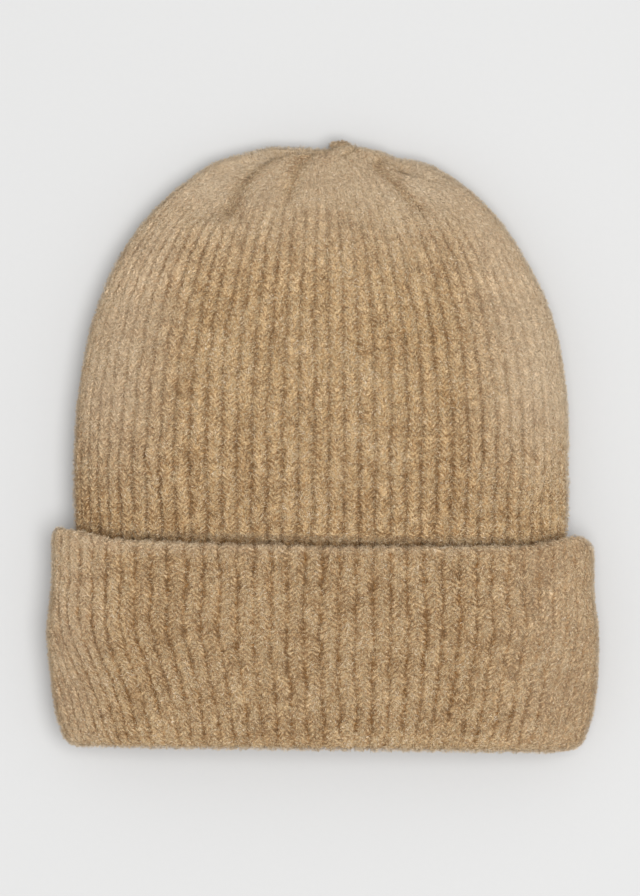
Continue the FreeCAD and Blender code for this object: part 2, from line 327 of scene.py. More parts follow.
def build_body():
    along = body_rows()
    sections = body_sections(along)
    points = rings(along, sections, BODY_POWER)
    rib = np.broadcast_to(np.linspace(0, RIBS, COLUMNS + 1), points.shape[:2])
    course = np.broadcast_to((np.arange(len(along)) / ROWS_PER_COURSE)[:, None], points.shape[:2])
    front = np.abs(rib - FRONT_RIB) < RIBS / 4
    narrow = closing(along)[:, None]
    half, top, middle, bottom = (part[:, None] for part in sections)
    past_rim = points[..., 1] - RIM_LINE + edge_wave(points, front)
    puffed = 0.72 * smooth(0.8 * MM, 5 * MM, past_rim) + 0.28 * smooth(0, 46 * MM, past_rim)
    crease = hump(past_rim, 0.2 * MM, 1.4 * MM)
    puffed = (BODY_TOP - TUBE_TOP) * puffed - 1.6 * MM * crease
    points[..., 2] += puffed * narrow ** 0.8 * np.clip((points[..., 2] - middle) / (top - middle), 0, 1)

    across = points[..., 0] / np.maximum(half, 3 * MM)
    felted = np.maximum(smooth(0.48, 0.92, across), 0.92 * smooth(0.48, 0.88, -across))
    felted = felted * smooth(-35 * MM, 25 * MM, along)[:, None]
    strength = (0.54 + 0.46 * smooth(0.45, 0.92, narrow)) * (1 - felted * np.where(across > 0, 0.42, 0.22))
    strength = strength * (1.12 - 0.24 * smooth(-15 * MM, 30 * MM, along)[:, None])
    # deeper ribs at the two sides, and with them deeper painted shade in their furrows
    sides = 0.34 * smooth(0.40, 0.75, -across)
    sides = sides + 0.20 * smooth(0.30, 0.60, across) * smooth(0.90, 0.65, across)
    strength = strength * (1 + sides)
    off_middle = smooth(8 * MM, 45 * MM, np.abs(points[..., 0]))
    # pale fuzz over the felted sides and the crown: partly the brushed wool's own fuzz, partly painted sheen
    # and painted light
    pale_fuzz_and_sheen = np.maximum(0.85 * felted, (1 - smooth(0.55, 0.95, narrow)) * (0.75 + 0.25 * off_middle))
    sink, hollow = crown_furrows(points, rib)
    pale_fuzz_and_sheen = pale_fuzz_and_sheen * (1 - 0.5 * hollow)
    swell = soft_swells(points, 31) * smooth(-2 * MM, 20 * MM, past_rim)
    points[..., 0] += TIP_SHIFT * smooth(0.97, 1.0, crown_share(along))[:, None]
    points[..., 0] -= 0.6 * MM * smooth(20 * MM, -20 * MM, along)[:, None]
    points[..., 1] += crown_outline(points)
    thickness = np.minimum(FABRIC, 0.4 * (top - bottom))
    skin = knit_skin(points, rib + 0.5, course, strength, 100, thickness, swell, pale_fuzz_and_sheen, sink)
    # painted shade in the crease above the cuff's rim and along the crown's furrows
    skin["furrow"] = np.maximum(skin["furrow"], 0.55 * crease) + 0.22 * hollow
    return along, skin


def edge_wave(points, front):
    """How far the cuff's rim dips below its line across the front, and less across the back."""
    share = points[..., 0] / CUFF_HALF
    dip = 1.9 + 2.2 * share - 1.5 * share ** 2
    dip = dip - 3.2 * smooth(0.72, 0.93, -share) + 2.5 * smooth(0.96, 1.0, -share)
    dip = dip - 3.8 * smooth(0.72, 0.95, share) + 6.5 * smooth(0.93, 1.0, share)
    return np.where(front, dip, 0.4 * dip) * MM


def build_cuff():
    """The cuff from its rim down its outside and round the fold to the body's lining."""
    outside = np.arange(RIM_LINE - RIM_REACH, FOLD_LINE + FOLD_REACH, -COURSE / ROWS_PER_COURSE)
    outside = np.append(outside[:len(outside) // 2 * 2], FOLD_LINE + FOLD_REACH)
    near_fold = smooth(RIM_LINE - 25 * MM, FOLD_LINE + 8 * MM, outside)
    powers = CUFF_POWER + (FOLD_POWER - CUFF_POWER) * near_fold
    outer = rings(outside, cuff_sections(outside, 0), powers, GATHERED * near_fold)
    below = rings(outside[:1], cuff_sections(outside[:1], FABRIC), CUFF_POWER)[0]
    half, top, middle, bottom = body_sections(outside[-1:])
    lining = rings(outside[-1:], (half - FABRIC, top - FABRIC, middle, bottom + FABRIC), BODY_POWER,
                   GATHERED * near_fold[-1:])[0]

    def turned(first, last, reach, angles):
        """Rings that turn from one ring to another round the middle between them."""
        made = []
        for angle in angles:
            ring = (first + last) / 2 + (first - last) / 2 * math.cos(angle)
            ring[:, 1] += reach * math.sin(angle)
            made.append(ring)
        return np.array(made)

    rim = turned(below, outer[0], RIM_REACH, np.linspace(0, np.pi, 17)[:-1])
    fold = turned(outer[-1], lining, -FOLD_REACH, np.linspace(0, np.pi, 37)[1:])
    points = np.concatenate([rim, outer, fold])
    thickness = np.full(len(points), FABRIC)
    thickness[len(rim) + len(outer):] = 0.9 * FABRIC
    thinned = np.arange(len(rim) + 6)
    rim_thickness = [0.4 * FABRIC, 0.45 * FABRIC, FABRIC]
    thickness[thinned] = np.interp(thinned, [0, len(rim), thinned[-1]], rim_thickness)
    steps = np.linalg.norm(np.diff(points[:, FRONT_RIB * COLUMNS_PER_RIB], axis=0), axis=-1)
    travelled = running_total(steps)
    rib = np.broadcast_to(np.linspace(0, RIBS, COLUMNS + 1), points.shape[:2])
    course = np.broadcast_to((travelled / COURSE)[:, None], points.shape[:2])
    front = np.abs(rib - FRONT_RIB) < RIBS / 4
    across = points[..., 0] / CUFF_HALF
    level = smooth(FOLD_LINE + 6 * MM, RIM_LINE, points[..., 1])
    points[..., 1] -= edge_wave(points, front) * level
    corner = smooth(0.80, 1.0, np.abs(across))
    rounded = np.where(across < 0, 3.0, 1.8) * corner ** 2
    points[..., 1] += (rounded - 1.3 * across * (1 - corner)) * MM * (1 - level)
    points[..., 0] += 0.7 * MM * smooth(0.45, 0.05, level)
    felted = np.maximum(smooth(0.50, 0.92, across), 0.4 * smooth(0.80, 1.0, -across))
    at_rim = smooth(RIM_LINE - 9 * MM, RIM_LINE, points[..., 1])
    at_fold = smooth(FOLD_LINE + 8 * MM, FOLD_LINE, points[..., 1])
    strength = 1.16 * (1 - 0.50 * felted) * (1 - 0.20 * at_rim) * (1 - 0.35 * at_fold)
    above_fold = smooth(FOLD_LINE, FOLD_LINE + 12 * MM, points[..., 1])
    swell = (soft_swells(points, 33) + 0.4 * MM) * 0.6 * above_fold
    swell[np.arange(len(points)) >= len(rim) + len(outer)] = 0
    # pale fuzz over the felted sides, partly painted sheen, and a painted highlight along the rolled rim
    pale_fuzz_and_sheen = np.maximum(0.08 + 0.38 * felted, 0.6 * at_rim)
    pale_fuzz_and_sheen = np.maximum(pale_fuzz_and_sheen, 0.60 * smooth(0.66, 0.98, -across))
    flip = slice(None, None, -1)  # rows run upwards, as on the body
    skin = knit_skin(
        points[flip], rib, course[flip], strength[flip], 300, thickness[flip, None], swell[flip], pale_fuzz_and_sheen[flip]
    )
    # painted shade over the felted sides of the cuff, most on the right, where the softbox lights it most
    skin["furrow"] = skin["furrow"] + 0.24 * felted[flip]
    return skin, (0, len(fold), len(fold) + len(outer) - 1, len(points) - 1)


# ---------------------------------------------------------------- meshes
def make_mesh(name, points, faces, uv=None, normals=None, values=None):
    """A mesh object from arrays; faces is a list of index arrays with 3 or 4 columns each."""
    me = bpy.data.meshes.new(name)
    corners = np.concatenate([f.ravel() for f in faces]).astype(np.int32)
    totals = np.concatenate([np.full(len(f), f.shape[1]) for f in faces]).astype(np.int32)
    starts = np.concatenate([[0], np.cumsum(totals)[:-1]]).astype(np.int32)
    me.vertices.add(len(points))
    me.vertices.foreach_set("co", np.asarray(points, np.float32).ravel())
    me.loops.add(len(corners))
    me.loops.foreach_set("vertex_index", corners)
    me.polygons.add(len(totals))
    me.polygons.foreach_set("loop_start", starts)
    me.polygons.foreach_set("use_smooth", np.ones(len(totals), bool))
    me.update(calc_edges=True)
    if uv is not None:
        me.uv_layers.new(name="OFBake").data.foreach_set("uv", np.asarray(uv, np.float32)[corners].ravel())
    for key, value in (values or {}).items():
        me.attributes.new(key, "FLOAT", "POINT").data.foreach_set("value", np.asarray(value, np.float32))
    if normals is not None:
        me.normals_split_custom_set_from_vertices(np.asarray(normals, np.float32))
    ob = bpy.data.objects.new(name, me)
    bpy.context.scene.collection.objects.link(ob)
    return ob


def quads_between(index):
    """Faces between the points of a grid of indices; they look outwards on a skin."""
    return np.stack([index[:-1, :-1], index[1:, :-1], index[1:, 1:], index[:-1, 1:]], -1).reshape(-1, 4)


def skirt(outer, inner, flip=False):
    """Triangles that join an edge of the outside to the inside's edge, which is half as fine."""
    faces = np.concatenate([
        np.stack([outer[0:-1:2], inner[:-1], outer[1::2]], -1),
        np.stack([outer[1::2], inner[:-1], inner[1:]], -1),
        np.stack([outer[1::2], inner[1:], outer[2::2]], -1),
    ])
    return faces[:, ::-1] if flip else faces


def cloth_piece(name, skin, rows, columns):
    """A closed piece of cloth: part of a skin's outside, its inside and the edges between."""
    (first, last), (left, right) = rows, columns
    pick = np.s_[first:last + 1, left:right + 1]
    coarse = np.s_[first:last + 1:INNER_STEP, left:right + 1:INNER_STEP]
    outside, inside = skin["outer"][pick], skin["inner"][coarse]
    (high, wide), (inner_high, inner_wide) = outside.shape[:2], inside.shape[:2]
    index = np.arange(high * wide).reshape(high, wide)
    under = high * wide + np.arange(inner_high * inner_wide).reshape(inner_high, inner_wide)
    faces = [
        quads_between(index),
        quads_between(under)[:, ::-1],
        skirt(index[0], under[0], flip=True),
        skirt(index[-1], under[-1]),
        skirt(index[:, 0], under[:, 0]),
        skirt(index[:, -1], under[:, -1], flip=True),
    ]
    uv = [
        np.meshgrid(np.linspace(0.005, 0.77, wide), np.linspace(0.005, 0.995, high)),
        np.meshgrid(np.linspace(0.79, 0.995, inner_wide), np.linspace(0.005, 0.995, inner_high)),
    ]
    uv = np.concatenate([np.stack(part, -1).reshape(-1, 2) for part in uv])
    points = np.concatenate([outside.reshape(-1, 3), inside.reshape(-1, 3)])
    normals = np.concatenate([skin["normal"][pick].reshape(-1, 3), -skin["normal"][coarse].reshape(-1, 3)])
    # painted shade on the inside too, in its own furrows under the outside's ribs
    furrow = np.concatenate([skin["furrow"][pick].ravel(), 0.7 * (1 - skin["furrow"][coarse].ravel())])
    pale_fuzz_and_sheen = np.concatenate([skin["pale_fuzz_and_sheen"][pick].ravel(), skin["pale_fuzz_and_sheen"][coarse].ravel()])
    return make_mesh(name, points, faces, uv, normals, {"furrow": furrow, "pale_fuzz_and_sheen": pale_fuzz_and_sheen})


# ---------------------------------------------------------------- materials
def new_material(name, roughness, sheen):
    material = bpy.data.materials.new(name)
    material.use_nodes = True
    tree = material.node_tree
    shader = tree.nodes["Principled BSDF"]
    shader.inputs["Roughness"].default_value = roughness
    shader.inputs["Specular IOR Level"].default_value = 0.18
    shader.inputs["Sheen Weight"].default_value = sheen
    shader.inputs["Sheen Roughness"].default_value = 0.5
    shader.inputs["Sheen Tint"].default_value = (1.0, 0.93, 0.82, 1)
    return material, tree, shader


def noise_node(tree, place, scale, detail=2.0, roughness=0.5):
    node = tree.nodes.new("ShaderNodeTexNoise")
    node.inputs["Scale"].default_value = scale
    node.inputs["Detail"].default_value = detail
    node.inputs["Roughness"].default_value = roughness
    tree.links.new(place, node.inputs["Vector"])
    return node.outputs["Fac"]


def ramp_node(tree, value, stops):
    node = tree.nodes.new("ShaderNodeValToRGB")
    elements = node.color_ramp.elements
    while len(elements) < len(stops):
        elements.new(0.5)
    for element, (position, colour) in zip(elements, stops):
        element.position = position
        element.color = (*colour, 1)
    tree.links.new(value, node.inputs["Fac"])
    return node.outputs["Color"]


def mix_node(tree, how, factor, first, second):
    """Mixes two colours; each of the three may be a number, a colour or a socket."""
    node = tree.nodes.new("ShaderNodeMix")
    node.data_type = "RGBA"
    node.blend_type = how
    for socket, value in ((node.inputs[0], factor), (node.inputs[6], first), (node.inputs[7], second)):
        if isinstance(value, bpy.types.NodeSocket):
            tree.links.new(value, socket)
        elif isinstance(value, tuple):
            socket.default_value = (*value, 1)
        else:
            socket.default_value = value
    return node.outputs[2]


def scaled(tree, value, factor):
    node = tree.nodes.new("ShaderNodeMath")
    node.operation = "MULTIPLY"
    node.inputs[1].default_value = factor
    tree.links.new(value, node.inputs[0])
    return node.outputs[0]


def attribute_node(tree, name):
    node = tree.nodes.new("ShaderNodeAttribute")
    node.attribute_name = name
    return node.outputs["Fac"]


# Strands of the heathered yarn, from dark to pale.
UMBER = (0.170, 0.100, 0.045)
DUSK = (0.265, 0.155, 0.068)
RUST = (0.490, 0.280, 0.130)
OCHRE = (0.520, 0.350, 0.170)
CAMEL = (0.625, 0.457, 0.268)
OLIVE = (0.620, 0.492, 0.305)
SAND = (0.735, 0.570, 0.370)
CREAM = (0.830, 0.700, 0.525)
# the pale fuzz colour, partly painted sheen, mixed over the strands
PALE_FUZZ_AND_SHEEN = (0.748, 0.620, 0.472)


def knit_material(name):
    """Heathered wool, paled by its fuzz and by painted sheen, with painted shade in the furrows."""
    material, tree, shader = new_material(name, 0.95, 0.05)
    place = tree.nodes.new("ShaderNodeTexCoord").outputs["Object"]
    speck = noise_node(tree, place, 1700, 4.0, 0.75)
    strand_tones = ((0.36, UMBER), (0.47, OCHRE), (0.56, CAMEL), (0.66, SAND), (0.76, CREAM))
    strands = ramp_node(tree, speck, strand_tones)
    patch = noise_node(tree, place, 80, 3.0, 0.6)
    tone = ramp_node(tree, patch, ((0.35, (0.84, 0.80, 0.74)), (0.65, (1.04, 1.04, 1.04))))
    heather = mix_node(tree, "MULTIPLY", 1.0, strands, tone)
    # paled toward the pale fuzz colour, partly painted sheen
    heather = mix_node(tree, "MIX", scaled(tree, attribute_node(tree, "pale_fuzz_and_sheen"), 0.5), heather, PALE_FUZZ_AND_SHEEN)
    # painted shade in the furrows and creases, from the furrow attribute
    shade_tones = ((0.15, (0.96, 0.96, 0.96)), (0.95, (0.50, 0.36, 0.21)))
    shade = ramp_node(tree, attribute_node(tree, "furrow"), shade_tones)
    tree.links.new(mix_node(tree, "MULTIPLY", 1.0, heather, shade), shader.inputs["Base Color"])
    return material


def fuzz_material(name):
    """Single fibres; each has one tone, which carries painted light and painted shade, and is paled toward
    the pale fuzz colour.
    """
    material, tree, shader = new_material(name, 0.9, 0.05)
    tones = (
        (0.00, DUSK), (0.16, RUST), (0.26, OCHRE), (0.42, CAMEL), (0.58, OLIVE), (0.74, SAND), (0.97, CREAM)
    )
    strand = ramp_node(tree, attribute_node(tree, "tone"), tones)
    # paled toward the pale fuzz colour, partly painted sheen
    tinted = mix_node(tree, "MIX", scaled(tree, attribute_node(tree, "pale_fuzz_and_sheen"), 0.55), strand, PALE_FUZZ_AND_SHEEN)
    tree.links.new(tinted, shader.inputs["Base Color"])
    return material


def yarn_material(name, dark, pale, scale):
    """Spun yarn: two tones in fine flecks."""
    material, tree, shader = new_material(name, 0.9, 0.05)
    place = tree.nodes.new("ShaderNodeTexCoord").outputs["Object"]
    fleck = ramp_node(tree, noise_node(tree, place, scale, 3.0, 0.7), ((0.38, dark), (0.62, pale)))
    tree.links.new(fleck, shader.inputs["Base Color"])
    return material


def tape_material(name):
    """Woven satin tape: fine cross ribs and a slight gloss."""
    material, tree, shader = new_material(name, 0.42, 0.1)
    place = tree.nodes.new("ShaderNodeTexCoord").outputs["Object"]
    weave = tree.nodes.new("ShaderNodeTexWave")
    weave.bands_direction = "X"
    weave.inputs["Scale"].default_value = 480
    weave.inputs["Distortion"].default_value = 0.6
    weave.inputs["Detail"].default_value = 2.0
    tree.links.new(place, weave.inputs["Vector"])
    threads = ramp_node(tree, weave.outputs["Fac"], ((0.2, (0.70, 0.67, 0.60)), (0.8, (0.80, 0.77, 0.71))))
    tree.links.new(threads, shader.inputs["Base Color"])
    return material


# ---------------------------------------------------------------- loose fibres
def read_grid(grid, rows, columns):
    """Values of a grid between its points."""
    low_row = np.clip(rows.astype(int), 0, grid.shape[0] - 2)
    low_column = np.floor(columns).astype(int)
    u, v = (rows - low_row)[..., None], (columns - low_column)[..., None]
    here, there = low_column % COLUMNS, (low_column + 1) % COLUMNS
    near = grid[low_row, here] * (1 - v) + grid[low_row, there] * v
    far = grid[low_row + 1, here] * (1 - v) + grid[low_row + 1, there] * v
    return near * (1 - u) + far * u


def fuzz_piece(name, skin, rows, columns, count, seed, apex_up=False, lift=(0.25, 0.9)):
    """Fibres that lie on part of a skin, each a thin closed spindle that curls over the stitches.
    Most follow the legs of the V stitches, whose apex points down on the body and up on the cuff."""
    chance = np.random.default_rng(seed)
    (first, last), (left, right) = rows, columns
    cells = skin["smooth"][first:last + 1, left:right + 1]
    wide = np.linalg.norm(np.diff(cells, axis=1), axis=-1)[:-1]
    high = np.linalg.norm(np.diff(cells, axis=0), axis=-1)[:, :-1]
    facing = grid_normals(skin["smooth"])[first:last, left:right, 2]
    steep = 1 - smooth(0.0, 0.6, np.abs(facing))
    crown = smooth(60 * MM, 110 * MM, cells[:-1, :-1, 1])
    density = wide * high * (0.10 + 0.90 * smooth(-0.5, 0.3, facing)) * (1 + 0.7 * crown + 1.8 * steep)
    total = np.cumsum(density.ravel())
    cell = np.searchsorted(total, chance.uniform(0, total[-1], count))
    row, column = np.divmod(cell, right - left)
    step = np.stack([high[row, column], wide[row, column]], -1)
    step = np.maximum(step, 0.05 * MM)
    at_row = first + row + chance.uniform(0, 1, count)
    at_column = left + column + chance.uniform(0, 1, count)
    at = np.stack([at_row, at_column], -1)

    furrow = read_grid(skin["furrow"][..., None], at[:, 0], at[:, 1])[:, 0]
    pale_fuzz_and_sheen = read_grid(skin["pale_fuzz_and_sheen"][..., None], at[:, 0], at[:, 1])[:, 0]
    # less pale fuzz and painted sheen in the furrows, as part of their painted shade
    pale_fuzz_and_sheen = pale_fuzz_and_sheen * (1 - 0.7 * np.clip(furrow, 0, 1))
    phase = (at[:, 1] / COLUMNS_PER_RIB + (0.0 if apex_up else 0.5)) % 1
    leg = np.where((phase > 0.5) != apex_up, 1, -1) * chance.normal(0.60, 0.25, count)
    stray = chance.uniform(0, 1, count) < 0.25 + 0.55 * pale_fuzz_and_sheen
    angle = 0.5 * np.pi - np.where(stray, chance.uniform(0, 2 * np.pi, count), leg)
    length = np.where(stray, chance.uniform(1.5, 3.6, count), chance.uniform(1.0, 2.3, count)) * MM
    curl = chance.normal(0, 0.3, count) * np.where(stray, 2.0, 1)
    rise = lift[0] + (lift[1] - lift[0]) * chance.uniform(0, 1, count) ** 2
    steep = steep[row, column]
    flyaway = chance.uniform(0, 1, count) < 0.06 + 0.70 * steep
    rise = np.where(flyaway, rise * 1.3 + 0.2 + 0.7 * steep, rise) * MM
    # painted sheen on the fibres along the outline
    pale_fuzz_and_sheen = np.maximum(pale_fuzz_and_sheen, 0.8 * steep)
    path = []
    for part, height in enumerate((-0.15, 1.0, 0.7)):
        direction = np.stack([np.sin(angle + curl * part), np.cos(angle + curl * part)], -1)
        place = at if part == 0 else place + direction * (length / 2)[:, None] / step
        place[:, 0] = np.clip(place[:, 0], first if first == 0 else 0, len(skin["smooth"]) - 1.001)
        ground = read_grid(skin["outer"], place[:, 0], place[:, 1])
        normal = unit(read_grid(skin["normal"], place[:, 0], place[:, 1]))
        path.append(ground + normal * (rise * height)[:, None])
    path = np.stack(path)
    path[..., 2] = np.maximum(path[..., 2], 0.15 * MM)

    along = unit(path[2] - path[0])
    side = unit(np.cross(along, normal))
    upward = np.cross(side, along)
    radius = np.where(flyaway, chance.uniform(0.04, 0.08, count), chance.uniform(0.08, 0.17, count)) * MM
    points = np.empty((count, 5, 3))
    points[:, 0], points[:, 4] = path[0], path[2]
    for corner in range(3):
        turn = 2 * np.pi * corner / 3
        spread = side * math.cos(turn) + upward * math.sin(turn)
        points[:, 1 + corner] = path[1] + spread * radius[:, None]
    faces = []
    for corner in range(3):
        following = (corner + 1) % 3
        faces += [(0, 1 + corner, 1 + following), (4, 1 + following, 1 + corner)]
    faces = (np.arange(count)[:, None, None] * 5 + np.array(faces)[None]).reshape(-1, 3)

    x, y = path[0][:, 0] / MM, path[0][:, 1] / MM
    tone = 0.50 + 0.12 * noise(x / 11, y / 13, 71) + 0.08 * noise(x / 4, y / 5, 72)
    tone += chance.normal(0, 0.29, count) * (1 - 0.40 * pale_fuzz_and_sheen)
    # painted light: fibres along the outline paler; painted shade: fibres in the furrows darker
    tone += 0.25 * steep - 0.04 * (1 - pale_fuzz_and_sheen) - 0.60 * furrow
    tone = np.clip(tone, 0.01, 0.99)
    around = np.array([(-1, -1), (1, -1), (0, 1), (-1, 1), (1, 1)]) * 0.004
    uv = 0.01 + 0.98 * np.stack([tone, pale_fuzz_and_sheen], -1)[:, None] * np.ones((1, 5, 1)) + around[None]
    values = {"tone": np.repeat(tone, 5), "pale_fuzz_and_sheen": np.repeat(pale_fuzz_and_sheen, 5)}
    return make_mesh(name, points.reshape(-1, 3), [faces], np.clip(uv, 0, 1).reshape(-1, 2), None, values)


# ---------------------------------------------------------------- yarn, thread and tape
def yarn_mesh(paths, radius, pitch, plies=2, sides=12, closed=False, reference=(0, 0, 1)):
    """Points and faces of twisted yarn along each path, with tapered ends, or joined up if closed."""
    all_points, all_faces, start = [], [], 0
    turn = np.arange(sides) * 2 * np.pi / sides
    for path in paths:
        count = len(path)
        ring_path = np.concatenate([path[-1:], path, path[:1]]) if closed else path
        tangent = np.gradient(ring_path, axis=0)
        tangent = unit(tangent[1:-1] if closed else tangent)
        side = unit(np.cross(tangent, reference))
        upward = np.cross(side, tangent)
        travelled = running_total(np.linalg.norm(np.diff(path, axis=0), axis=-1))
        size = np.full(count, radius)
        if not closed:
            from_end = np.minimum(travelled, travelled[-1] - travelled) / radius
            size = radius * np.sqrt(np.clip(1 - (1 - np.clip(from_end, 0, 1)) ** 2, 0.02, 1))
        whole_turns = max(1, round(travelled[-1] / pitch))
        wound = 2 * np.pi * whole_turns * travelled / travelled[-1] / plies
        reach = size[:, None] * (0.84 + 0.16 * np.cos(plies * (turn[None] - wound[:, None])))
        ring = np.cos(turn)[None, :, None] * side[:, None] + np.sin(turn)[None, :, None] * upward[:, None]
        all_points.append((path[:, None] + ring * reach[..., None]).reshape(-1, 3))
        index = start + np.arange(count * sides).reshape(count, sides)
        index = np.concatenate([index, index[:, :1]], axis=1)
        if closed:
            index = np.concatenate([index, index[:1]])
        all_faces.append(quads_between(index))
        start += count * sides
        if not closed:
            all_points.append(path[[0, -1]])
            first_fan = np.stack([np.full(sides, start), index[0, :-1], index[0, 1:]], -1)
            last_fan = np.stack([np.full(sides, start + 1), index[-1, 1:], index[-1, :-1]], -1)
            all_faces += [first_fan, last_fan]
            start += 2
    return np.concatenate(all_points), all_faces


def yarn_piece(name, paths, radius, pitch, **options):
    points, faces = yarn_mesh(paths, radius, pitch, **options)
    return make_mesh(name, points, faces)


def build_nub():
    """The small knot of felted wool where the crown is gathered, as a skin whose poles lie along Y."""
    rise = np.linspace(-0.47 * np.pi, 0.47 * np.pi, 41)[:, None]
    turn = np.linspace(0, 2 * np.pi, COLUMNS + 1)[None]
    out = np.cos(rise)
    direction = np.stack([out * np.sin(turn), np.sin(rise) + 0 * turn, -out * np.cos(turn)], -1)
    x, y, z = (direction[..., axis] for axis in range(3))
    lumps = 1 + 0.20 * noise(x * 2.2 + 5, y * 2.0 + z * 2.4, 61) + 0.14 * noise(x * 5 + z * 4, y * 5 - z, 62)
    half = (np.array(nub_high) - np.array(nub_low)) / 2
    centre = (np.array(nub_high) + np.array(nub_low)) / 2
    points = centre + direction * lumps[..., None] * half * 0.96
    points[:, -1] = points[:, 0]
    return {
        "smooth": points,
        "outer": points,
        "normal": grid_normals(points),
        # painted shade, deeper between the lumps; pale fuzz and painted sheen all over
        "furrow": 0.6 - 0.8 * (lumps - 1),
        "pale_fuzz_and_sheen": np.full(points.shape[:2], 0.8),
    }


def nub_piece(skin):
    step = 8
    points = skin["outer"][:, :-1:step]
    high, wide = points.shape[:2]
    index = np.arange(high * wide).reshape(high, wide)
    index = np.concatenate([index, index[:, :1]], axis=1)
    low_pole = np.stack([index[0, :-1], index[0, 1:], np.full(wide, high * wide)], -1)
    high_pole = np.stack([index[-1, 1:], index[-1, :-1], np.full(wide, high * wide + 1)], -1)
    every = np.concatenate([points.reshape(-1, 3), points[[0, -1]].mean(axis=1)])
    values = {}
    for key in ("furrow", "pale_fuzz_and_sheen"):
        # painted shade and pale fuzz with painted sheen, middling at the two poles
        values[key] = np.append(skin[key][:, :-1:step].ravel(), [0.6, 0.6])
    return make_mesh("crown_tip_knot", every, [quads_between(index), low_pole, high_pole], values=values)


def label_piece():
    """A blank woven tape, folded in two, with its cut ends held by the stitches."""
    thick = 0.32 * MM
    low, high = label_low, label_high
    bend = (high.z - low.z) / 2
    arc = np.linspace(-0.5 * np.pi, 0.5 * np.pi, 13)
    centre = np.array([high.x - bend, (high.z + low.z) / 2])
    flat = np.linspace(low.x, centre[0], 40)

    def layer(reach):
        turned = centre + reach * np.stack([np.cos(arc), np.sin(arc)], -1)
        lower = np.stack([flat[:-1], np.full(len(flat) - 1, centre[1] - reach)], -1)
        upper = np.stack([flat[-2::-1], np.full(len(flat) - 1, centre[1] + reach)], -1)
        return np.concatenate([lower, turned, upper])

    outline = np.concatenate([layer(bend), layer(bend - thick)[::-1]])
    across = np.linspace(low.y, high.y, 57)
    points = np.empty((len(across), len(outline), 3))
    points[..., 0] = outline[None, :, 0]
    points[..., 1] = across[:, None]
    cockle = 0.09 * MM * np.sin((outline[None, :, 0] - low.x) / (5.5 * MM) + across[:, None] / (4 * MM))
    free = smooth(low.x, low.x + 12 * MM, outline[None, :, 0])
    points[..., 2] = outline[None, :, 1] + cockle * free
    count = len(outline)
    index = np.arange(len(across) * count).reshape(len(across), count)
    wrapped = np.concatenate([index, index[:, :1]], axis=1)
    half = count // 2
    pairs = np.arange(half - 1)
    near = index[0][np.stack([pairs, pairs + 1, count - 2 - pairs, count - 1 - pairs], -1)]
    far = near[:, ::-1] + index[-1, 0]
    return make_mesh("care_label_tape", points.reshape(-1, 3), [quads_between(wrapped), near, far])


# ---------------------------------------------------------------- building the knitted pieces
body_along, body = build_body()
cuff, cuff_rows = build_cuff()
body_wool, cuff_wool = knit_material("body_wool"), knit_material("cuff_wool")
body_fuzz, cuff_fuzz = fuzz_material("body_fibres"), fuzz_material("cuff_fibres")


def row_at(line):
    """The even row of the body nearest to a place along Y."""
    return int(np.argmin(np.abs(body_along - line)) // 2 * 2)


tube_end = row_at(RIM_LINE - 8 * MM)
crown_start = row_at(CROWN_LINE)
body_end = len(body_along) - 1
quarter = COLUMNS // 4


def dress(piece, material, body_name, nodes):
    """Gives a piece its material and makes it ride its body, or, for a piece between the hat and the cuff,
    fixes its place in its mesh and gives it no body.
    """
    piece.data.materials.append(material)
    if body_name == "between":
        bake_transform(piece)
    else:
        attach(piece, body_name)
    if nodes:
        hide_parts(*nodes)


GORES = ("crown_gore_back", "crown_gore_right", "crown_gore_front", "crown_gore_left")
for number, side in enumerate(QUARTERS):
    columns = (number * quarter, (number + 1) * quarter)
    crown_piece = cloth_piece("crown_" + side, body, (crown_start, body_end), columns)
    dress(crown_piece, body_wool, "hat", GORES)
    body_piece = cloth_piece("body_" + side, body, (tube_end, crown_start), columns)
    dress(body_piece, body_wool, "hat", ["body_tube"])
    tube_piece = cloth_piece("body_hem_" + side, body, (0, tube_end), columns)
    dress(tube_piece, body_wool, "between", ["body_tube"])
    cuff_piece = cloth_piece("cuff_" + side, cuff, cuff_rows[1:3], columns)
    dress(cuff_piece, cuff_wool, "cuff", ["cuff_panel"])
    fold_piece = cloth_piece("cuff_fold_" + side, cuff, cuff_rows[0:2], columns)
    dress(fold_piece, cuff_wool, "cuff", ["cuff_fold"])
    rim_piece = cloth_piece("cuff_rim_" + side, cuff, cuff_rows[2:4], columns)
    dress(rim_piece, cuff_wool, "cuff", ["cast_on_edge"])


# ---------------------------------------------------------------- building the seams, knot and label
def lining_path(skin, rows, column, inward):
    """A path along a column on the inside of a skin, a little way into the hollow."""
    first, last = rows
    columns = column if np.ndim(column) else np.full(last - first, column)
    lining = skin["inner"][np.arange(first, last), columns]
    cloth = skin["outer"][np.arange(first, last), columns]
    smoothed = np.stack([np.convolve(lining[:, axis], np.ones(15) / 15, "valid") for axis in range(3)], -1)
    return smoothed + unit(lining - cloth)[7:-7] * inward


seam_wool = yarn_material("seam_wool", DUSK, CAMEL, 2600)
thread = yarn_material("thread", (0.62, 0.56, 0.46), (0.74, 0.69, 0.60), 5200)
SEAM_RADIUS, CUFF_SEAM_RADIUS, DART_RADIUS = 1.25 * MM, 0.9 * MM, 0.8 * MM
SEAM_TWIST, DART_TWIST = 4.2 * MM, 3.6 * MM  # the length of one turn of the yarn
path = lining_path(body, (tube_end, row_at(seam_high.y)), 0, 0.3 * MM)
piece = yarn_piece("back_seam_yarn", [path], SEAM_RADIUS, SEAM_TWIST)
dress(piece, seam_wool, "hat", ["back_seam"])
path = lining_path(body, (0, tube_end + 8), 0, 0.3 * MM)
piece = yarn_piece("back_seam_hem", [path], SEAM_RADIUS, SEAM_TWIST)
dress(piece, seam_wool, "between", ["back_seam"])
path = lining_path(cuff, cuff_rows[1:3], 0, -1.5 * MM)
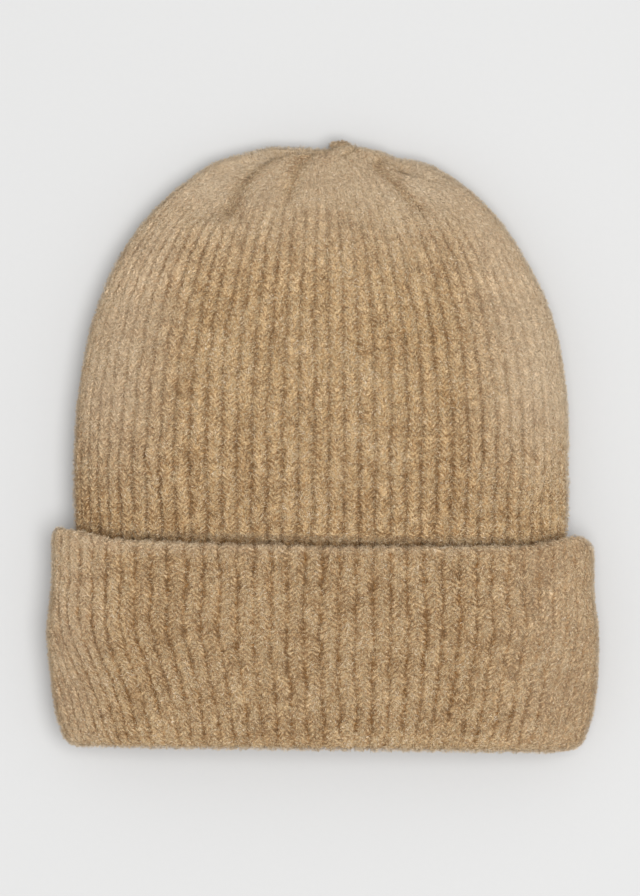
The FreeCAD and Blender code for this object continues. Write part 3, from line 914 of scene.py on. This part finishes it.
piece = yarn_piece("cuff_back_seam_yarn", [path], CUFF_SEAM_RADIUS, SEAM_TWIST)
dress(piece, seam_wool, "cuff", ["cuff_back_seam"])
for side, half in (("front", slice(quarter, 3 * quarter)), ("back", slice(-quarter, quarter))):
    for hand, sign in (("left", -1), ("right", 1)):
        node = f"dart_seam_{side}_{hand}"
        low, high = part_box(node)
        first, last = row_at(low.y), row_at(high.y)
        choices = np.arange(COLUMNS)[half] if side == "front" else np.arange(-quarter, quarter) % COLUMNS
        x = body["smooth"][first:last][:, choices, 0]
        wanted = sign * 0.5 * np.abs(x).max(axis=1, keepdims=True)
        columns = choices[np.argmin(np.abs(x - wanted), axis=1)]
        path = lining_path(body, (first, last), columns, 0.1 * MM)
        piece = yarn_piece(f"{node}_yarn", [path], DART_RADIUS, DART_TWIST)
        dress(piece, seam_wool, "hat", [node])

nub = build_nub()
dress(nub_piece(nub), body_wool, "hat", ["crown_tip"])
loop_low, loop_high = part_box("gather_thread")
loop_centre = (np.array(loop_low) + np.array(loop_high)) / 2
turn = np.linspace(0, 2 * np.pi, 73)[:-1]
loop = (loop_high.x - loop_low.x) / 2 - 0.5 * MM
loop_path = loop_centre + loop * np.stack([np.cos(turn), 0.12 * np.sin(3 * turn), np.sin(turn)], -1)
piece = yarn_piece("gather_thread_yarn", [loop_path], 0.5 * MM, 2 * MM, closed=True, reference=(0, 1, 0))
dress(piece, seam_wool, "hat", ["gather_thread"])

label = label_piece()
dress(label, tape_material("satin_tape"), "care_label", ["care_label"])
stitch_low, stitch_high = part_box("label_stitches")
STITCHES = 9
stitch_gap = (stitch_high.y - stitch_low.y) / STITCHES
stitch_paths = []
for stitch in range(STITCHES):
    t = np.linspace(0, 1, 17)
    y = stitch_low.y + stitch_gap * (stitch + 0.12 + 0.76 * t)
    x = 0.12 * MM * np.sin(2 * np.pi * t)
    z = stitch_low.z + 0.25 * MM + 0.45 * MM * np.sin(np.pi * t)
    stitch_paths.append(np.stack([x, y, z], -1))
piece = yarn_piece("label_stitch_thread", stitch_paths, 0.3 * MM, 1.2 * MM)
dress(piece, thread, "hat", ["label_stitches"])


# ---------------------------------------------------------------- building the loose fibres
FIBRES = 33000  # in each zone of the body and of the cuff; the crown has half as many
TIP_FIBRES = 1200
ZONES = ((0.0, 0.36), (0.36, 0.5), (0.5, 0.64), (0.64, 1.0))  # shares of the way round
crown_fuzz_start = row_at(62 * MM)
hem_fuzz_start = row_at(RIM_LINE - 42 * MM)
cuff_fuzz_rows = (cuff_rows[0] + 10, cuff_rows[3] - 8)
for number, (low, high) in enumerate(ZONES):
    columns = (int(low * COLUMNS), int(high * COLUMNS))
    rows = (crown_fuzz_start, body_end)
    piece = fuzz_piece(f"crown_fuzz_{number}", body, rows, columns, FIBRES // 2, 500 + number)
    dress(piece, body_fuzz, "hat", None)
    rows = (tube_end, crown_fuzz_start)
    piece = fuzz_piece(f"body_fuzz_{number}", body, rows, columns, FIBRES, 520 + number)
    dress(piece, body_fuzz, "hat", None)
    rows = cuff_fuzz_rows
    piece = fuzz_piece(f"cuff_fuzz_{number}", cuff, rows, columns, FIBRES, 540 + number, apex_up=True)
    dress(piece, cuff_fuzz, "cuff", None)
rows, columns = (hem_fuzz_start, tube_end), (quarter, 3 * quarter)
piece = fuzz_piece("body_hem_fuzz", body, rows, columns, FIBRES, 560, lift=(0.15, 0.4))
dress(piece, body_fuzz, "between", None)
rows, columns = (0, len(nub["smooth"]) - 1), (0, COLUMNS)
piece = fuzz_piece("crown_tip_fuzz", nub, rows, columns, TIP_FIBRES, 570, lift=(0.1, 0.4))
dress(piece, body_fuzz, "hat", None)


# ---------------------------------------------------------------- floor, light and camera
def build_stage():
    bpy.ops.mesh.primitive_plane_add(size=6, location=(0, 0, -0.1 * MM))
    floor = bpy.context.object
    floor.name = "floor"
    material, tree, shader = new_material("paper", 0.9, 0.0)
    place = tree.nodes.new("ShaderNodeTexCoord").outputs["Object"]
    grain = noise_node(tree, place, 400, 2.0)
    paper = ramp_node(tree, grain, ((0.3, (0.539, 0.539, 0.537)), (0.7, (0.543, 0.543, 0.541))))
    tree.links.new(paper, shader.inputs["Base Color"])
    floor.data.materials.append(material)


def area_light(name, place, size, power):
    light = bpy.data.lights.new(name, "AREA")
    light.shape = "DISK"
    light.size = size
    light.energy = power
    ob = bpy.data.objects.new(name, light)
    ob.location = place
    direction = -ob.location.normalized()
    ob.rotation_euler = direction.to_track_quat("-Z", "Y").to_euler()
    bpy.context.scene.collection.objects.link(ob)


def build_light():
    world = bpy.data.worlds.new("studio")
    bpy.context.scene.world = world
    world.use_nodes = True
    background = world.node_tree.nodes["Background"]
    background.inputs["Color"].default_value = (1, 1, 1, 1)
    background.inputs["Strength"].default_value = 0.68
    area_light("softbox", (0.45, -0.20, 3.0), 2.2, 88)
    bpy.context.scene.view_settings.view_transform = "Standard"


PICTURE_HEIGHT = 369.2 * MM  # what the picture covers from top to bottom at the hat's outline
PICTURE_MIDDLE = (-0.8 * MM, -0.4 * MM)
LENS, SENSOR = 200, 36


def build_camera():
    camera = bpy.data.cameras.new("camera")
    camera.lens = LENS
    camera.sensor_width = SENSOR
    camera.clip_start, camera.clip_end = 0.1, 10
    ob = bpy.data.objects.new("camera", camera)
    distance = PICTURE_HEIGHT / SENSOR * LENS
    ob.location = (*PICTURE_MIDDLE, distance + BODY_MIDDLE)
    bpy.context.scene.collection.objects.link(ob)
    bpy.context.scene.camera = ob


build_stage()
build_light()
build_camera()
